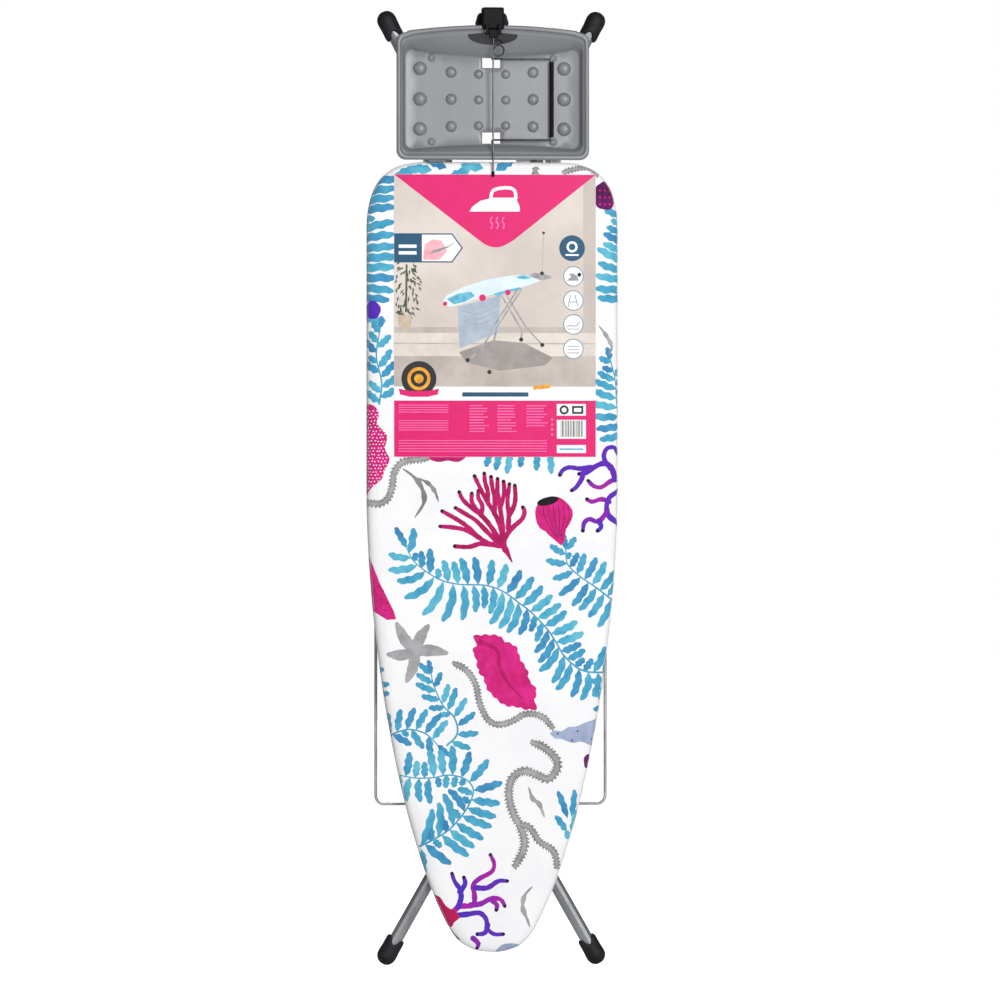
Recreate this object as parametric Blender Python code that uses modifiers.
"""Ironing board with an iron tray, folded and standing on its nose end.

+Z runs from the nose to the iron tray, +X is the user's right as they face the cover,
and -Y is the side of the cover. Every depth is measured from the plane of the legs.
"""

import math

import bmesh
import bpy
from mathutils import Matrix, Vector

for old in list(bpy.data.objects):
    bpy.data.objects.remove(old, do_unlink=True)

# Driving dimensions, in metres.
BOARD_HALF_WIDTH = 0.1896
BOARD_NOSE_Z = 0.0204
BOARD_TOP_Z = 1.2122
LEG_PLANE_Y = 0.0146
GAP = 0.0003

COVER_FRONT = -0.0364
COVER_BACK = -0.0110
COVER_THICKNESS = 0.0008
COVER_EDGE_RADIUS = 0.008
HEM_WIDTH = 0.022
PAD_BACK = -0.0283
MESH_FRONT = -0.0280
MESH_BACK = -0.0268
RIM_FRONT = -0.0265
RIM_BACK = -0.0121
RIM_WALL = 0.0015
RIM_FLANGE = 0.012

SCISSOR_Z = 0.721
UPPER_ARM = 0.270
FOOT_ARM = 0.706
FOOT_HALF_SPACING = 0.158
FOOT_RADIUS = 0.015
TUBE_RADIUS = 0.010
BEND_RADIUS = 0.300
LEG_A_HALF_SPACING = 0.043
LEG_A_SPLAY = math.radians(29.5)
LEG_B_HALF_SPACING = 0.066
LEG_B_SPLAY = math.radians(27.0)
PIN_RADIUS = 0.004
PIN_HOLE_RADIUS = 0.0043

RACK_HALF_WIDTH = 0.174
RACK_Y = 0.016
RACK_HINGE_Z = 0.243
RACK_LENGTH = 0.452
RACK_WIRE_RADIUS = 0.00225

TRAY_HALF_WIDTH = 0.1455
TRAY_BOTTOM_Z = 1.2155
TRAY_CORNER_Z = 1.408
TRAY_ARCH_Z = 1.419
TRAY_RIM_Y = -0.038
TRAY_FLOOR_Y = -0.020
TRAY_WALL = 0.0025

BAIL_AXIS_Y = -0.0145
BAIL_ARM_ZS = (1.2462, 1.3683)
BAIL_REACH = 0.0895

GUIDE_AXIS_Y = -0.0475
GUIDE_AXIS_Z = 1.409
CLAMP_Z = 1.4226

LEVER_AXIS = (0.108, 0.002)

COLOURS = {
    "painted_steel": ((0.56, 0.57, 0.58), 0.38, 0.6),
    "zinc_steel": ((0.62, 0.63, 0.64), 0.3, 0.9),
    "mesh_steel": ((0.68, 0.69, 0.70), 0.45, 0.7),
    "tray_plastic": ((0.26, 0.27, 0.28), 0.42, 0.0),
    "black_plastic": ((0.012, 0.012, 0.014), 0.45, 0.0),
    "charcoal_rubber": ((0.025, 0.026, 0.03), 0.7, 0.0),
    "nylon": ((0.75, 0.75, 0.73), 0.5, 0.0),
    "cotton": ((0.9, 0.9, 0.9), 0.95, 0.0),
    "foam": ((0.8, 0.8, 0.78), 1.0, 0.0),
    "card": ((0.85, 0.05, 0.22), 0.4, 0.0),
}

parts = bpy.data.collections.new("ironing_board")
cutters = bpy.data.collections.new("ironing_board_cutters")
bpy.context.scene.collection.children.link(parts)
bpy.context.scene.collection.children.link(cutters)


def material(name, kind):
    colour, roughness, metallic = COLOURS[kind]
    made = bpy.data.materials.new(name)
    made.use_nodes = True
    shader = made.node_tree.nodes["Principled BSDF"]
    shader.inputs["Base Color"].default_value = (*colour, 1.0)
    shader.inputs["Roughness"].default_value = roughness
    shader.inputs["Metallic"].default_value = metallic
    return made


def empty(name, location):
    made = bpy.data.objects.new(name, None)
    made.location = location
    parts.objects.link(made)
    return made


leg_plane = empty("leg_plane", (0, LEG_PLANE_Y, 0))
bpy.context.view_layer.update()


def place(obj, kind, parent=None):
    """Puts an object, built around the leg plane, in the collection and under its parent."""
    parts.objects.link(obj)
    obj.data.materials.clear()
    obj.data.materials.append(material(obj.name, kind))
    obj.parent = parent or leg_plane
    if parent:
        obj.matrix_parent_inverse = parent.matrix_basis.inverted()
    return obj


def from_bmesh(name, bm, smooth=True):
    mesh = bpy.data.meshes.new(name)
    bmesh.ops.recalc_face_normals(bm, faces=bm.faces)
    bm.to_mesh(mesh)
    bm.free()
    if smooth:
        mesh.shade_smooth()
        mesh.set_sharp_from_angle(angle=math.radians(35))
    return bpy.data.objects.new(name, mesh)


def box(name, low, high, rounded=0.0):
    bm = bmesh.new()
    bmesh.ops.create_cube(bm, size=1.0)
    low, high = Vector(low), Vector(high)
    size = high - low
    bmesh.ops.scale(bm, vec=size, verts=bm.verts)
    obj = from_bmesh(name, bm)
    obj.location = (low + high) / 2
    if rounded:
        bevel = obj.modifiers.new("rounded_edges", "BEVEL")
        bevel.width = rounded
        bevel.segments = 2
    return obj


def rod(name, start, end, radius, sides=16):
    """A cylinder from start to end."""
    start, end = Vector(start), Vector(end)
    bm = bmesh.new()
    bmesh.ops.create_cone(
        bm, cap_ends=True, segments=sides, radius1=radius, radius2=radius, depth=(end - start).length
    )
    obj = from_bmesh(name, bm)
    turn = (end - start).to_track_quat("Z", "Y").to_matrix().to_4x4()
    obj.matrix_world = Matrix.Translation((start + end) / 2) @ turn
    return obj


def wire(name, points, radius, resolution=2):
    curve = bpy.data.curves.new(name, "CURVE")
    curve.dimensions = "3D"
    curve.bevel_depth = radius
    curve.bevel_resolution = resolution
    curve.use_fill_caps = True
    spline = curve.splines.new("POLY")
    spline.points.add(len(points) - 1)
    for point, at in zip(spline.points, points):
        point.co = (*at, 1.0)
    return bpy.data.objects.new(name, curve)


def plate(name, outline, y_low, y_high, holes=()):
    """A flat outline of (x, z) points, and holes through it, standing between two depths."""
    curve = bpy.data.curves.new(name, "CURVE")
    curve.dimensions = "2D"
    curve.fill_mode = "BOTH"
    curve.extrude = (y_high - y_low) / 2
    for loop in (outline, *holes):
        spline = curve.splines.new("POLY")
        spline.points.add(len(loop) - 1)
        spline.use_cyclic_u = True
        for point, (x, z) in zip(spline.points, loop):
            point.co = (x, z, 0.0, 1.0)
    obj = bpy.data.objects.new(name, curve)
    obj.location = (0, (y_low + y_high) / 2, 0)
    obj.rotation_euler = (math.radians(90), 0, 0)
    return obj


def turned(name, profile, start, direction, steps=24):
    """A profile of (radius, height), top first, turned about the line through start."""
    mesh = bpy.data.meshes.new(name)
    bm = bmesh.new()
    verts = [bm.verts.new((r, 0, h)) for r, h in profile]
    for a, b in zip(verts, verts[1:]):
        bm.edges.new((a, b))
    closed = profile[0][0] > 0 and profile[-1][0] > 0
    if closed:
        bm.edges.new((verts[-1], verts[0]))
    bm.to_mesh(mesh)
    bm.free()
    obj = bpy.data.objects.new(name, mesh)
    screw = obj.modifiers.new("turn", "SCREW")
    screw.steps = steps
    screw.render_steps = steps
    screw.use_merge_vertices = True
    screw.merge_threshold = 0.00001
    screw.use_smooth_shade = True
    turn = Vector(direction).to_track_quat("Z", "Y").to_matrix().to_4x4()
    obj.matrix_world = Matrix.Translation(Vector(start)) @ turn
    return obj


def as_mesh(obj):
    """The object with its curve and modifiers made into one welded mesh."""
    name = obj.name
    bpy.context.scene.collection.objects.link(obj)
    bpy.context.view_layer.update()
    graph = bpy.context.evaluated_depsgraph_get()
    mesh = bpy.data.meshes.new_from_object(obj.evaluated_get(graph))
    bm = bmesh.new()
    bm.from_mesh(mesh)
    bmesh.ops.remove_doubles(bm, verts=bm.verts, dist=0.000005)
    bmesh.ops.recalc_face_normals(bm, faces=bm.faces)
    bm.to_mesh(mesh)
    bm.free()
    mesh.shade_smooth()
    mesh.set_sharp_from_angle(angle=math.radians(35))
    made = bpy.data.objects.new("made", mesh)
    made.matrix_world = obj.matrix_world.copy()
    bpy.data.objects.remove(obj, do_unlink=True)
    made.name = name
    return made


def combine(obj, other, operation):
    """Cuts or joins a helper object, which moves to the cutters."""
    cutters.objects.link(other)
    other.name = obj.name + "_" + operation.lower()
    other.parent = leg_plane
    other.hide_render = True
    other.display_type = "WIRE"
    boolean = obj.modifiers.new(operation.lower(), "BOOLEAN")
    boolean.operation = operation
    boolean.object = other
    boolean.solver = "EXACT"


def cut(obj, other):
    combine(obj, other, "DIFFERENCE")


def join(obj, other):
    combine(obj, other, "UNION")


def bezier(a, b, c, d, steps):
    """Points along a cubic curve, without its last one."""
    points = []
    for i in range(steps):
        t = i / steps
        s = 1 - t
        weights = (s**3, 3 * s * s * t, 3 * s * t * t, t**3)
        points.append(tuple(sum(w * p[k] for w, p in zip(weights, (a, b, c, d))) for k in (0, 1)))
    return points


def offset(loop, grow):
    """The closed loop of points moved outwards by grow."""
    moved = []
    count = len(loop)
    for i in range(count):
        before, here, after = (Vector(loop[(i + k) % count]) for k in (-1, 0, 1))
        first = (here - before).normalized()
        second = (after - here).normalized()
        normal = Vector((first.y + second.y, -first.x - second.x)).normalized()
        stretch = max(normal.dot(Vector((first.y, -first.x))), 0.5)
        moved.append(tuple(here + normal * grow / stretch))
    return moved


def mirrored(half):
    """A closed loop from the points of its right half, which start and end on the centre line."""
    return half + [(-x, z) for x, z in reversed(half[1:-1])]


def board_outline(grow=0.0):
    """The cover's silhouette, counter-clockwise from the nose tip."""
    shoulder = (BOARD_HALF_WIDTH, 0.720)
    corner = (BOARD_HALF_WIDTH, 1.110)
    flank = (0.0733, 0.0733)
    half = bezier((0, BOARD_NOSE_Z), (0.047, BOARD_NOSE_Z), (0.0596, 0.0455), flank, 7)
    half += bezier(flank, (0.1447, 0.218), (BOARD_HALF_WIDTH, 0.512), shoulder, 6)
    half += [shoulder]
    half += bezier(corner, (BOARD_HALF_WIDTH, 1.1915), (0.1515, BOARD_TOP_Z), (0.1034, BOARD_TOP_Z), 7)
    half += [(0.1034, BOARD_TOP_Z), (0.05, BOARD_TOP_Z + 0.0006), (0, BOARD_TOP_Z + 0.0008)]
    return offset(mirrored(half), grow)


def half_width_at(z, grow=0.0):
    """The half width of the board's outline at a height."""
    loop = board_outline(grow)
    for (x1, z1), (x2, z2) in zip(loop, loop[1:]):
        if x1 > 0 and x2 > 0 and z1 <= z < z2:
            return x1 + (x2 - x1) * (z - z1) / (z2 - z1)
    return 0.0


def lofted(name, rings, cap_first=False, cap_last=False, closed=False):
    """A skin through rings of (x, y, z) points with equal counts."""
    bm = bmesh.new()
    rows = [[bm.verts.new(p) for p in ring] for ring in rings]
    pairs = list(zip(rows, rows[1:]))
    if closed:
        pairs.append((rows[-1], rows[0]))
    for lower, upper in pairs:
        for i in range(len(lower)):
            k = (i + 1) % len(lower)
            bm.faces.new((lower[i], lower[k], upper[k], upper[i]))
    if cap_first:
        bm.faces.new(list(reversed(rows[0])))
    if cap_last:
        bm.faces.new(rows[-1])
    return from_bmesh(name, bm)


def board_ring(grow, y):
    return [(x, y, z) for x, z in board_outline(grow)]


def arc_profile(inset, front, radius, steps):
    """The rounded front edge: (grow, y) from the front face round to the side."""
    profile = []
    for i in range(steps + 1):
        turn = math.radians(90 * i / steps)
        grow = -inset - radius + radius * math.sin(turn)
        profile.append((grow, front + radius - radius * math.cos(turn)))
    return profile


# The board: mesh top on a channel rim, with a foam pad and a hemmed cover.

place(plate("mesh_top", board_outline(-0.0013), MESH_FRONT, MESH_BACK), "mesh_steel")

rim_profile = (
    (-0.0013, RIM_FRONT),
    (-0.0013, RIM_BACK),
    (-0.0013 - RIM_FLANGE, RIM_BACK),
    (-0.0013 - RIM_FLANGE, RIM_BACK - RIM_WALL),
    (-0.0013 - RIM_WALL, RIM_BACK - RIM_WALL),
    (-0.0013 - RIM_WALL, RIM_FRONT + RIM_WALL),
    (-0.0013 - RIM_FLANGE, RIM_FRONT + RIM_WALL),
    (-0.0013 - RIM_FLANGE, RIM_FRONT),
)
top_rim = lofted("top_rim", [board_ring(g, y) for g, y in rim_profile], closed=True)

pad_profile = arc_profile(0.0011, COVER_FRONT + 0.0011, COVER_EDGE_RADIUS - 0.0011, 3)
pad_rings = [board_ring(g, y) for g, y in pad_profile] + [board_ring(-0.0013, PAD_BACK)]
place(lofted("foam_pad", pad_rings, cap_first=True, cap_last=True), "foam")

cover_profile = arc_profile(0.0, COVER_FRONT, COVER_EDGE_RADIUS, 3)
cover_profile += [(0.0, COVER_BACK - 0.0012), (-0.0012, COVER_BACK), (-HEM_WIDTH, COVER_BACK)]
cover = lofted("cover", [board_ring(g, y) for g, y in cover_profile], cap_first=True)
cloth = cover.modifiers.new("cloth_thickness", "SOLIDIFY")
cloth.thickness = COVER_THICKNESS
cloth.offset = -1.0
cloth.use_even_offset = True

for side, sign in (("left", -1), ("right", 1)):
    low_x, high_x = sorted((sign * 0.0795, sign * 0.1045))
    for obj in (top_rim, cover):
        slot = box("slot", (low_x, -0.0176, 1.185), (high_x, -0.0148, 1.240))
        cut(obj, slot)
place(top_rim, "painted_steel")
place(cover, "cotton")

BRACE_SIZES = (
    ("cross_brace_lower", 0.425, 0.009, -0.0142),
    ("cross_brace_upper", 0.760, 0.009, -0.0142),
    ("cross_brace_pivot", 0.991, 0.013, -0.0142),
    ("cross_brace_end", 1.165, 0.010, -0.0175),
)
for name, z, half, back in BRACE_SIZES:
    reach = half_width_at(z - half, -0.0013 - RIM_FLANGE)
    reach = min(reach, half_width_at(z + half, -0.0013 - RIM_FLANGE)) - GAP
    place(box(name, (-reach, RIM_FRONT, z - half), (reach, back, z + half), 0.0015), "painted_steel")

# Slotted rails that guide the sliding leg.
for side, sign in (("left", -1), ("right", 1)):
    web_low, web_high = sorted((sign * 0.084, sign * 0.086))
    flange_low, flange_high = sorted((sign * 0.084, sign * 0.102))
    rail = box("rail_" + side, (web_low, -0.0139, 0.414), (web_high, 0.0095, 0.771))
    join(rail, box("flange", (flange_low, -0.0139, 0.414), (flange_high, -0.0121, 0.771)))
    slot = box("slot", (web_low - 0.005, -0.0064, 0.444), (web_high + 0.005, 0.0064, 0.730), 0.006)
    cut(rail, slot)
    place(rail, "zinc_steel")

# U bracket that holds the fixed pivot of the legs.
bracket = box("pivot_bracket", (-0.026, -0.0139, 0.966), (0.026, -0.0119, 1.016))
for sign in (-1, 1):
    ear_low, ear_high = sorted((sign * 0.0225, sign * 0.026))
    join(bracket, box("ear", (ear_low, -0.0139, 0.978), (ear_high, 0.0085, 1.004)))
cut(bracket, rod("bore", (-0.05, 0, 0.991), (0.05, 0, 0.991), PIN_HOLE_RADIUS))
place(bracket, "zinc_steel")


# The two pairs of legs.

def leg_path(half_spacing, splay, side, up, end_s, start_s):
    """Points of one tube, from its pivot end out to its foot; s runs from the scissor pivot."""
    rise = BEND_RADIUS * math.sin(splay)
    swing = BEND_RADIUS * (1 - math.cos(splay))
    tail = (FOOT_HALF_SPACING - half_spacing - swing) / math.tan(splay)
    bend_start = FOOT_ARM - tail - rise
    stations = [(start_s, half_spacing)]
    for i in range(9):
        turn = splay * i / 8
        s = bend_start + BEND_RADIUS * math.sin(turn)
        stations.append((s, half_spacing + BEND_RADIUS * (1 - math.cos(turn))))
    stations.append((end_s, FOOT_HALF_SPACING - (FOOT_ARM - end_s) * math.tan(splay)))
    return [(side * x, 0, SCISSOR_Z + up * s) for s, x in stations]


def leg_x_at(half_spacing, splay, s):
    """Distance of a tube's centre line from the centre plane at s."""
    points = leg_path(half_spacing, splay, 1, 1, FOOT_ARM, -1.0)
    for (x1, _, z1), (x2, _, z2) in zip(points, points[1:]):
        if z1 <= SCISSOR_Z + s <= z2:
            return x1 + (x2 - x1) * (SCISSOR_Z + s - z1) / (z2 - z1)
    return half_spacing


FOOT_PROFILE = [(0.0103, 0.034), (0.0128, 0.0352), (0.0146, 0.033), (0.0155, 0.029), (0.0150, 0.024)]
FOOT_PROFILE += [(0.0142, 0.017), (0.0143, 0.009)]
for i in range(5):
    turn = math.radians(90 * i / 5)
    FOOT_PROFILE.append((FOOT_RADIUS * math.cos(turn), -FOOT_RADIUS * math.sin(turn)))
FOOT_PROFILE += [(0.0, -FOOT_RADIUS), (0.0, 0.0117), (0.0103, 0.0117)]
FOOT_TUBE_INSET = 0.012

LEGS = (
    ("leg_a", LEG_A_HALF_SPACING, LEG_A_SPLAY, -1),
    ("leg_b", LEG_B_HALF_SPACING, LEG_B_SPLAY, 1),
)
pivots = {
    "leg_a": empty("leg_a_pivot", (0, LEG_PLANE_Y, SCISSOR_Z + UPPER_ARM)),
    "leg_b": empty("leg_b_pivot", (0, LEG_PLANE_Y, SCISSOR_Z)),
    "rack": empty("rack_pivot", (0, LEG_PLANE_Y + RACK_Y, RACK_HINGE_Z)),
    "bail": empty("bail_pivot", (0, LEG_PLANE_Y + BAIL_AXIS_Y, (BAIL_ARM_ZS[0] + BAIL_ARM_ZS[1]) / 2)),
    "guide": empty("cord_guide_pivot", (0, LEG_PLANE_Y + GUIDE_AXIS_Y, GUIDE_AXIS_Z)),
    "lever": empty("lever_pivot", (LEVER_AXIS[0], LEG_PLANE_Y + LEVER_AXIS[1], 0.590)),
}
bpy.context.view_layer.update()


def place_on(obj, kind, pivot):
    """Parents a moving piece to the empty on its joint's axis."""
    place(obj, kind, pivots[pivot])
    back = Matrix.Translation((0, LEG_PLANE_Y, 0))
    obj.matrix_parent_inverse = pivots[pivot].matrix_basis.inverted() @ back
    return obj


for leg, half_spacing, splay, up in LEGS:
    for side, sign in (("left", -1), ("right", 1)):
        end_s = FOOT_ARM - FOOT_TUBE_INSET * math.cos(splay)
        start_s = -UPPER_ARM - 0.009
        path = leg_path(half_spacing, splay, sign, up, end_s, start_s)
        tube = as_mesh(wire(leg + "_tube_" + side, path, TUBE_RADIUS, 4))
        across = sign * 0.120
        cut(tube, rod("hole", (0, 0, SCISSOR_Z), (across, 0, SCISSOR_Z), PIN_HOLE_RADIUS))
        pivot_z = SCISSOR_Z - up * UPPER_ARM
        hole_from = 0 if leg == "leg_a" else sign * (half_spacing - GAP)
        cut(tube, rod("hole", (hole_from, 0, pivot_z), (across, 0, pivot_z), PIN_HOLE_RADIUS))
        brace_z = SCISSOR_Z + up * 0.510
        brace_x = leg_x_at(half_spacing, splay, 0.510)
        cut(tube, rod("socket", (0, 0, brace_z), (sign * brace_x, 0, brace_z), 0.0063))
        place_on(tube, "painted_steel", leg)
        centre = Vector((sign * FOOT_HALF_SPACING, 0, SCISSOR_Z + up * FOOT_ARM))
        inwards = Vector((-sign * math.sin(splay), 0, -up * math.cos(splay)))
        foot = turned(leg + "_foot_" + side, FOOT_PROFILE, centre, inwards, 16)
        place_on(foot, "charcoal_rubber", leg)
    brace_z = SCISSOR_Z + up * 0.510
    brace_x = leg_x_at(half_spacing, splay, 0.510) - GAP
    brace = rod(leg + "_brace", (-brace_x, 0, brace_z), (brace_x, 0, brace_z), 0.006)
    place_on(brace, "painted_steel", leg)


def headed_pin(name, start, end, head_radius, head_length):
    """A pin along X with a head at each end; start and end are its outer faces."""
    x1, x2 = sorted((start[0], end[0]))
    length = x2 - x1
    profile = [
        (0.0, length),
        (head_radius * 0.7, length),
        (head_radius, length - head_length * 0.5),
        (head_radius, length - head_length),
        (PIN_RADIUS, length - head_length),
        (PIN_RADIUS, head_length),
        (head_radius, head_length),
        (head_radius, head_length * 0.5),
        (head_radius * 0.7, 0.0),
        (0.0, 0.0),
    ]
    return turned(name, profile, (x1, start[1], start[2]), (1, 0, 0), 14)


fixed_pivot_z = SCISSOR_Z + UPPER_ARM
axle = headed_pin("leg_a_axle", (-0.0556, 0, fixed_pivot_z), (0.0556, 0, fixed_pivot_z), 0.0065, 0.0022)
place_on(axle, "zinc_steel", "leg_a")
slider_z = SCISSOR_Z - UPPER_ARM
for side, sign in (("left", -1), ("right", 1)):
    rivet = headed_pin(
        "scissor_rivet_" + side, (sign * 0.0290, 0, SCISSOR_Z), (sign * 0.0800, 0, SCISSOR_Z), 0.0075, 0.0034
    )
    place_on(rivet, "zinc_steel", "leg_a")
    pin = rod("slider_pin_" + side, (sign * 0.0663, 0, slider_z), (sign * 0.0965, 0, slider_z), PIN_RADIUS)
    join(pin, rod("head", (sign * 0.0950, 0, slider_z), (sign * 0.0985, 0, slider_z), 0.0065))
    place_on(pin, "zinc_steel", "leg_b")
    inner_x, outer_x = sorted((sign * 0.0773, sign * 0.0885))
    bush_profile = [(PIN_HOLE_RADIUS, 0.0112), (0.006, 0.0112), (0.006, 0.0), (PIN_HOLE_RADIUS, 0.0)]
    bush = turned("slider_bush_" + side, bush_profile, (inner_x, 0, slider_z), (1, 0, 0), 18)
    place_on(bush, "nylon", "leg_b")

# Clips on the lower legs that carry the rack.
clip_lean = math.asin((SCISSOR_Z - RACK_HINGE_Z - 0.4239) / BEND_RADIUS)
for side, sign in (("left", -1), ("right", 1)):
    clip_x = sign * leg_x_at(LEG_A_HALF_SPACING, LEG_A_SPLAY, SCISSOR_Z - RACK_HINGE_Z)
    low = (clip_x - 0.0070, 0.0090, RACK_HINGE_Z - 0.009)
    high = (clip_x + 0.0070, 0.0205, RACK_HINGE_Z + 0.009)
    clip = as_mesh(box("rack_clip_" + side, low, high, 0.0015))
    along = Vector((sign * math.sin(clip_lean), 0, -math.cos(clip_lean)))
    middle = Vector((clip_x, 0, RACK_HINGE_Z))
    join(clip, rod("band", middle - along * 0.008, middle + along * 0.008, 0.0130))
    cut(clip, rod("tube_bore", middle - along * 0.03, middle + along * 0.03, TUBE_RADIUS + 0.0008))
    wire_y = RACK_Y
    bore_ends = ((clip_x - 0.03, wire_y, RACK_HINGE_Z), (clip_x + 0.03, wire_y, RACK_HINGE_Z))
    cut(clip, rod("wire_bore", *bore_ends, RACK_WIRE_RADIUS + 0.0004))
    place_on(clip, "black_plastic", "leg_a")

# Linen rack: a U of wire that turns in the clips, with bars along it.
rack_top = RACK_HINGE_Z + RACK_LENGTH
rack_bend = 0.012
frame_points = [(-RACK_HALF_WIDTH, RACK_Y, rack_top + 0.002)]
for i in range(7):
    turn = math.radians(90 * i / 6)
    x = -RACK_HALF_WIDTH + rack_bend * (1 - math.cos(turn))
    frame_points.append((x, RACK_Y, RACK_HINGE_Z + rack_bend * (1 - math.sin(turn))))
frame_points += [(-x, y, z) for x, y, z in reversed(frame_points)]
place_on(wire("rack_frame", frame_points, RACK_WIRE_RADIUS, 3), "painted_steel", "rack")
bar_x = RACK_HALF_WIDTH - RACK_WIRE_RADIUS - GAP
top_bar = rod("rack_top_bar", (-bar_x, RACK_Y, rack_top), (bar_x, RACK_Y, rack_top), RACK_WIRE_RADIUS, 16)
place_on(top_bar, "painted_steel", "rack")
long_y = RACK_Y + RACK_WIRE_RADIUS + 0.0015 + GAP
for i, x in enumerate((-0.105, -0.035, 0.035, 0.105)):
    ends = ((x, long_y, RACK_HINGE_Z - 0.0015), (x, long_y, rack_top + 0.0015))
    place_on(rod("rack_wire_%d" % (i + 1), *ends, 0.0015, 12), "painted_steel", "rack")

# Iron tray and its support arms.


def tray_outline(side_inset, bottom_inset, corner_inset, arch_inset, radius):
    """Rounded tray outline of (x, z) with an arched top edge."""
    right = TRAY_HALF_WIDTH - side_inset
    bottom = TRAY_BOTTOM_Z + bottom_inset
    corner = TRAY_CORNER_Z - corner_inset
    arch = TRAY_ARCH_Z - arch_inset
    half = [(0, bottom)]
    for i in range(6):
        turn = math.radians(-90 + 90 * i / 5)
        half.append((right - radius + radius * math.cos(turn), bottom + radius + radius * math.sin(turn)))
    for i in range(6):
        turn = math.radians(90 * i / 5)
        x = right - radius + radius * math.cos(turn)
        half.append((x, corner - radius + radius * math.sin(turn)))
    for i in range(1, 6):
        x = (right - radius) * (1 - i / 5)
        half.append((x, corner + (arch - corner) * (1 - (x / right) ** 2)))
    return mirrored(half)


def tray_ring(outline, y):
    return [(x, y, z) for x, z in outline]


tray_rings = [
    tray_ring(tray_outline(0.0006, 0.0006, 0.0006, 0.0006, 0.014), -0.0235),
    tray_ring(tray_outline(0.0, 0.0, 0.0, 0.0, 0.014), TRAY_RIM_Y + 0.003),
    tray_ring(tray_outline(0.0010, 0.0010, 0.0010, 0.0010, 0.013), TRAY_RIM_Y + 0.0008),
    tray_ring(tray_outline(0.0035, 0.0035, 0.0035, 0.0035, 0.012), TRAY_RIM_Y),
    tray_ring(tray_outline(0.0060, 0.0060, 0.0060, 0.0060, 0.011), TRAY_RIM_Y + 0.0008),
    tray_ring(tray_outline(0.0075, 0.0100, 0.0100, 0.0080, 0.011), TRAY_RIM_Y + 0.0030),
    tray_ring(tray_outline(0.0095, 0.0165, 0.0225, 0.0440, 0.012), TRAY_FLOOR_Y - 0.0035),
    tray_ring(tray_outline(0.0125, 0.0195, 0.0255, 0.0480, 0.012), TRAY_FLOOR_Y - 0.0004),
    tray_ring(tray_outline(0.0170, 0.0225, 0.0290, 0.0510, 0.012), TRAY_FLOOR_Y),
]
tray_skin = lofted("tray_skin", tray_rings, cap_last=True)
shell = tray_skin.modifiers.new("wall", "SOLIDIFY")
shell.thickness = TRAY_WALL
shell.offset = -1.0
shell.use_even_offset = True
tray = as_mesh(tray_skin)
tray.name = "iron_tray"

DIMPLE_COLUMNS = (
    (0.1090, (0.0102, 0.0102, 0.0102), (1.3540, 1.3078, 1.2628)),
    (0.0620, (0.0083, 0.0083, 0.0083), (1.3484, 1.3076, 1.2664)),
    (0.0205, (0.0068, 0.0068, 0.0068), (1.3454, 1.3066, 1.2677)),
)
for x, radii, heights in DIMPLE_COLUMNS:
    for sign in (-1, 1):
        for radius, z in zip(radii, heights):
            bm = bmesh.new()
            bmesh.ops.create_uvsphere(bm, u_segments=12, v_segments=6, radius=radius)
            bmesh.ops.rotate(bm, matrix=Matrix.Rotation(math.radians(90), 3, "X"), verts=bm.verts)
            bmesh.ops.scale(bm, vec=(1, 0.36, 1), verts=bm.verts)
            every = bm.verts[:] + bm.edges[:] + bm.faces[:]
            level = (0, 0.0012, 0)
            half = bmesh.ops.bisect_plane(bm, geom=every, plane_co=level, plane_no=(0, 1, 0), clear_outer=True)
            rim = [edge for edge in half["geom_cut"] if isinstance(edge, bmesh.types.BMEdge)]
            bmesh.ops.contextual_create(bm, geom=rim)
            dimple = from_bmesh("dimple", bm)
            dimple.location = (sign * x, TRAY_FLOOR_Y + 0.0003, z)
            join(tray, dimple)

SCREW_SPOTS = ((-0.092, 1.243), (0.092, 1.243), (-0.092, 1.370), (0.092, 1.370))
for x, z in SCREW_SPOTS:
    join(tray, rod("boss", (x, TRAY_FLOOR_Y - 0.0011, z), (x, TRAY_FLOOR_Y + 0.0013, z), 0.0060, 14))
for sign in (-1, 1):
    low_x, high_x = sorted((sign * 0.036, sign * 0.084))
    join(tray, box("lug", (low_x, -0.0302, 1.2134), (high_x, -0.0242, 1.2200), 0.0008))
for low_z, high_z in ((1.2408, 1.2575), (1.3550, 1.3712)):
    cut(tray, box("window", (-0.0150, -0.030, low_z), (0.0122, 0.0, high_z)))
BAIL_LUGS = ((1.2300, 1.2405), (1.3715, 1.3820))
for low_z, high_z in BAIL_LUGS:
    join(tray, box("hinge_lug", (-0.0055, -0.0190, low_z), (0.0045, -0.0105, high_z), 0.0008))
cut(tray, rod("hinge_bore", (0, BAIL_AXIS_Y, 1.2285), (0, BAIL_AXIS_Y, 1.3835), 0.0018, 16))
for x, z in SCREW_SPOTS:
    cut(tray, rod("screw_bore", (x, TRAY_FLOOR_Y - 0.0001, z), (x, -0.010, z), 0.0023, 16))
place(tray, "tray_plastic")

badge_outline = [(0.0380, 1.4045), (0.0, 1.4085), (-0.0380, 1.4045)]
for i in range(1, 12):
    turn = math.radians(180 + 180 * i / 12)
    badge_outline.append((0.0375 * math.cos(turn), 1.4030 + 0.0145 * math.sin(turn)))
badge = plate("tray_badge", badge_outline, -0.0004, 0.0004)
badge.location = (0, 0, 0)
lean = Matrix.Rotation(math.atan2(0.0115, 0.0360), 4, "X")
shift = Matrix.Translation((0, -0.0361, 1.4100))
unshift = Matrix.Translation((0, 0, -1.4100))
badge.matrix_world = shift @ lean @ unshift @ Matrix.Rotation(math.radians(90), 4, "X")
place(badge, "black_plastic")

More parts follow.
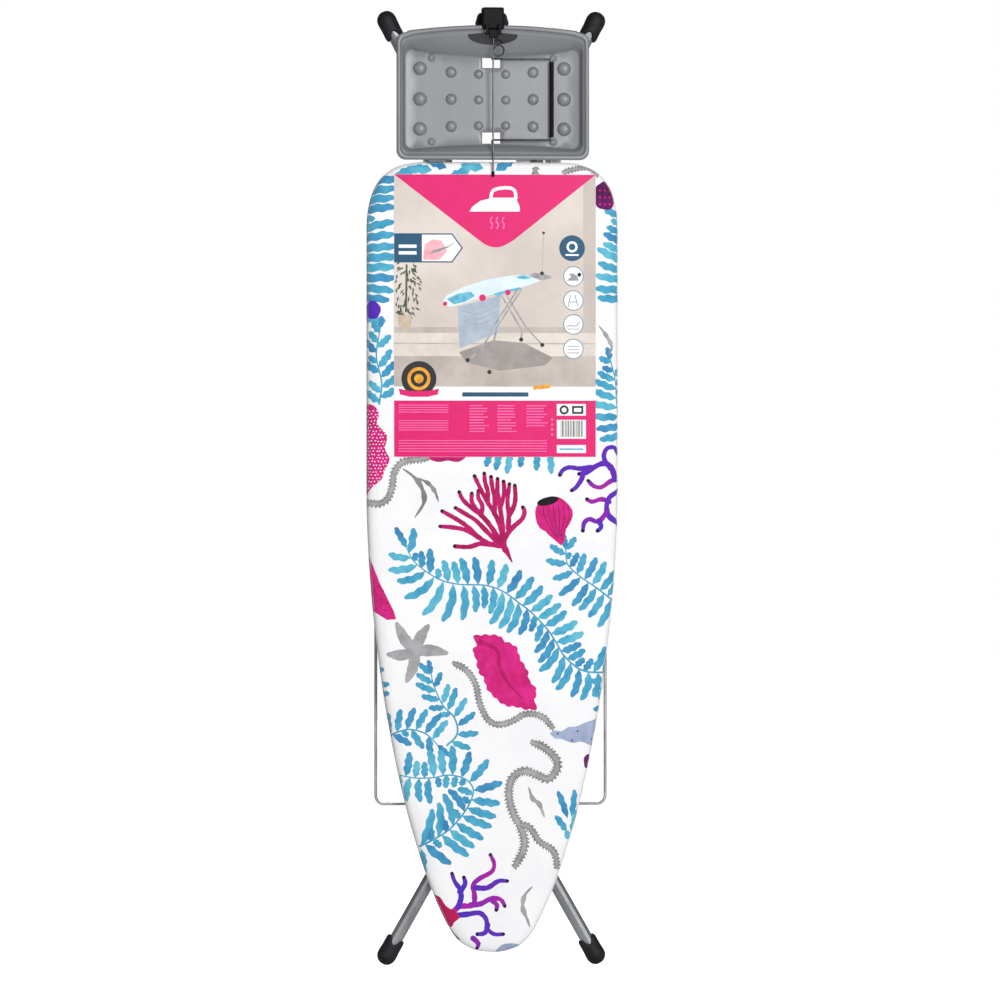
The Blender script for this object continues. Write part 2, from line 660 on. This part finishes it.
for side, sign in (("left", -1), ("right", 1)):
    low_x, high_x = sorted((sign * 0.0800, sign * 0.1040))
    arm = box("tray_arm_" + side, (low_x, -0.0172, 1.148), (high_x, -0.0152, 1.386))
    for x, z in SCREW_SPOTS:
        if x * sign > 0:
            cut(arm, rod("hole", (x, -0.03, z), (x, 0.0, z), 0.0024, 16))
    place(arm, "zinc_steel")
for i, (x, z) in enumerate(SCREW_SPOTS):
    profile = [(0.0, 0.0048), (0.0020, 0.0048), (0.0020, 0.0), (0.0042, 0.0), (0.0038, -0.0018), (0.0, -0.0024)]
    screw = turned("tray_screw_%d" % (i + 1), profile, (x, -0.0149, z), (0, -1, 0), 12)
    place(screw, "zinc_steel")

# Hinged wire bail that stops the iron.


def rounded_path(corners, radius, steps=4):
    """The corner points with each inner corner turned into a short arc."""
    points = [tuple(corners[0])]
    for before, here, after in zip(corners, corners[1:], corners[2:]):
        before, here, after = Vector(before), Vector(here), Vector(after)
        start = here + (before - here).normalized() * radius
        end = here + (after - here).normalized() * radius
        for i in range(steps + 1):
            t = i / steps
            points.append(tuple(start * (1 - t) ** 2 + here * (2 * t * (1 - t)) + end * t * t))
    points.append(tuple(corners[-1]))
    return points


low_z, high_z = BAIL_ARM_ZS
bail_corners = [
    (0, BAIL_AXIS_Y, low_z - 0.0145),
    (0, BAIL_AXIS_Y, low_z),
    (0.0030, -0.0225, low_z),
    (0.0150, -0.0265, low_z),
    (BAIL_REACH, -0.0285, low_z),
    (BAIL_REACH, -0.0285, high_z),
    (0.0150, -0.0265, high_z),
    (0.0030, -0.0225, high_z),
    (0, BAIL_AXIS_Y, high_z),
    (0, BAIL_AXIS_Y, high_z + 0.0120),
]
place_on(wire("bail_wire", rounded_path(bail_corners, 0.0025, 2), 0.0014, 1), "zinc_steel", "bail")
sleeve_profile = [(0.0018, 0.114), (0.0032, 0.114), (0.0032, 0.0), (0.0018, 0.0)]
sleeve_low = (low_z + high_z) / 2 - 0.057
sleeve = turned("bail_sleeve", sleeve_profile, (BAIL_REACH, -0.0285, sleeve_low), (0, 0, 1), 16)
place_on(sleeve, "black_plastic", "bail")

# Clamp on the tray's edge and the wire that holds up the iron's cord.
clip = as_mesh(box("cord_clip_body", (-0.0165, -0.0430, 1.4120), (0.0165, -0.0180, 1.4455), 0.0025))
cut(clip, box("grip", (-0.03, -0.0392, 1.40), (0.03, -0.0215, 1.4197), 0.0))
for low_x, high_x in ((-0.0120, -0.0070), (0.0070, 0.0120)):
    join(clip, box("ear", (low_x, -0.0508, 1.4035), (high_x, -0.0420, 1.4200), 0.0010))
cut(clip, rod("pin_bore", (-0.03, GUIDE_AXIS_Y, GUIDE_AXIS_Z), (0.03, GUIDE_AXIS_Y, GUIDE_AXIS_Z), 0.0015, 16))
cut(clip, rod("clamp_bore", (0, -0.0230, CLAMP_Z), (0, -0.0100, CLAMP_Z), 0.0023, 16))
place(clip, "black_plastic")
hinge_pin = rod("cord_hinge_pin", (-0.0125, GUIDE_AXIS_Y, GUIDE_AXIS_Z), (0.0125, GUIDE_AXIS_Y, GUIDE_AXIS_Z), 0.0012, 14)
place(hinge_pin, "zinc_steel")
knob_outline = []
for i in range(32):
    turn = 2 * math.pi * i / 32
    squareness = (abs(math.cos(turn)) ** 3 + abs(math.sin(turn)) ** 3) ** (-1 / 3)
    reach = squareness * (1.0 + 0.03 * math.cos(8 * turn))
    knob_outline.append((0.0245 * reach * math.cos(turn), CLAMP_Z + 0.0180 * reach * math.sin(turn)))
wing = as_mesh(plate("cord_clip_thumb_screw", knob_outline, -0.0172, -0.0122))
join(wing, rod("shank", (0, -0.0215, CLAMP_Z), (0, -0.0150, CLAMP_Z), 0.0020, 16))
place(wing, "black_plastic")

holder = as_mesh(box("cord_guide_holder", (-0.0066, -0.0504, 1.3985), (0.0066, -0.0446, 1.4118), 0.0012))
cut(holder, rod("bore", (-0.03, GUIDE_AXIS_Y, GUIDE_AXIS_Z), (0.03, GUIDE_AXIS_Y, GUIDE_AXIS_Z), 0.0015, 16))
cut(holder, rod("wire_bore", (0, -0.0475, 1.390), (0, -0.0475, 1.4055), 0.0016, 16))
place_on(holder, "black_plastic", "guide")
guide_points = [(0, -0.0475, 1.4050), (0, -0.0475, 1.3880)]
coil_radius = 0.0080
for i in range(17):
    turn = math.radians(180 + 360 * i / 16)
    depth = -0.0475 + 0.0034 * i / 16
    x = coil_radius * (1 + math.cos(turn))
    guide_points.append((x, depth, 1.3800 - coil_radius * math.sin(turn)))
guide_points += [(0, -0.0440, 1.3650), (0, -0.0400, 1.2000)]
guide_points.pop(1)
place_on(wire("cord_guide_rod", guide_points, 0.0013, 1), "zinc_steel", "guide")
tip_profile = [(0.0, 0.0050), (0.0016, 0.0042), (0.0022, 0.0030), (0.0022, -0.0030), (0.0016, -0.0042), (0.0, -0.0050)]
tip = turned("cord_guide_tip", tip_profile, (0, -0.0400, 1.1945), (0, 0, 1), 16)
place_on(tip, "black_plastic", "guide")

# Retail card lying on the cover.
place(box("retail_card", (-0.1494, -0.0375, 0.7676), (0.1554, -0.0367, 1.1936)), "card")

# Height-release lever with the notched bar that locks the sliding leg.
shaft_x, shaft_y = LEVER_AXIS
bar = box("lock_bar", (0.0905, 0.0046, 0.452), (0.0925, 0.0105, 0.728))
for i in range(7):
    z = 0.470 + 0.040 * i
    cut(bar, rod("notch", (0.085, 0.0046, z), (0.098, 0.0046, z), 0.0034, 8))
for z in (0.486, 0.694):
    join(bar, box("link", (0.0915, 0.0070, z - 0.006), (0.1040, 0.0095, z + 0.006)))
    join(bar, rod("eye", (shaft_x, shaft_y, z - 0.006), (shaft_x, shaft_y, z + 0.006), 0.0055, 20))
    join(bar, box("neck", (0.1020, 0.0035, z - 0.006), (0.1045, 0.0095, z + 0.006)))
    cut(bar, rod("bore", (shaft_x, shaft_y, z - 0.02), (shaft_x, shaft_y, z + 0.02), 0.0033, 20))
place_on(bar, "zinc_steel", "lever")
shaft = rod("lever_shaft", (shaft_x, shaft_y, 0.466), (shaft_x, shaft_y, 0.714), 0.0030, 20)
place_on(shaft, "zinc_steel", "lever")
arm = box("lever_arm", (shaft_x, 0.0008, 0.582), (0.1560, 0.0032, 0.598))
join(arm, rod("eye", (shaft_x, shaft_y, 0.582), (shaft_x, shaft_y, 0.598), 0.0055, 20))
cut(arm, rod("bore", (shaft_x, shaft_y, 0.57), (shaft_x, shaft_y, 0.61), 0.0033, 20))
place_on(arm, "zinc_steel", "lever")
grip = as_mesh(box("lever_grip", (0.1490, -0.0030, 0.545), (0.1610, 0.0070, 0.635), 0.0035))
cut(grip, box("slot", (0.1400, 0.0005, 0.5817), (0.1563, 0.0035, 0.5983)))
place_on(grip, "black_plastic", "lever")
for name, z in (("lower", 0.474), ("upper", 0.706)):
    holder = box("lever_bracket_" + name, (0.1023, -0.0118, z - 0.003), (0.1137, 0.0080, z + 0.003), 0.001)
    foot = box("foot", (0.0880, -0.0118, z - 0.003), (0.1137, -0.0100, z + 0.003))
    join(holder, foot)
    cut(holder, rod("bore", (shaft_x, shaft_y, z - 0.02), (shaft_x, shaft_y, z + 0.02), 0.0033, 20))
    place(holder, "zinc_steel")
spring_points = []
for i in range(31):
    turn = 2 * math.pi * i / 10
    x = shaft_x + 0.0048 * math.cos(turn)
    spring_points.append((x, shaft_y + 0.0048 * math.sin(turn), 0.655 + 0.0018 * i / 10))
place(wire("lever_spring", spring_points, 0.0006, 0), "zinc_steel")
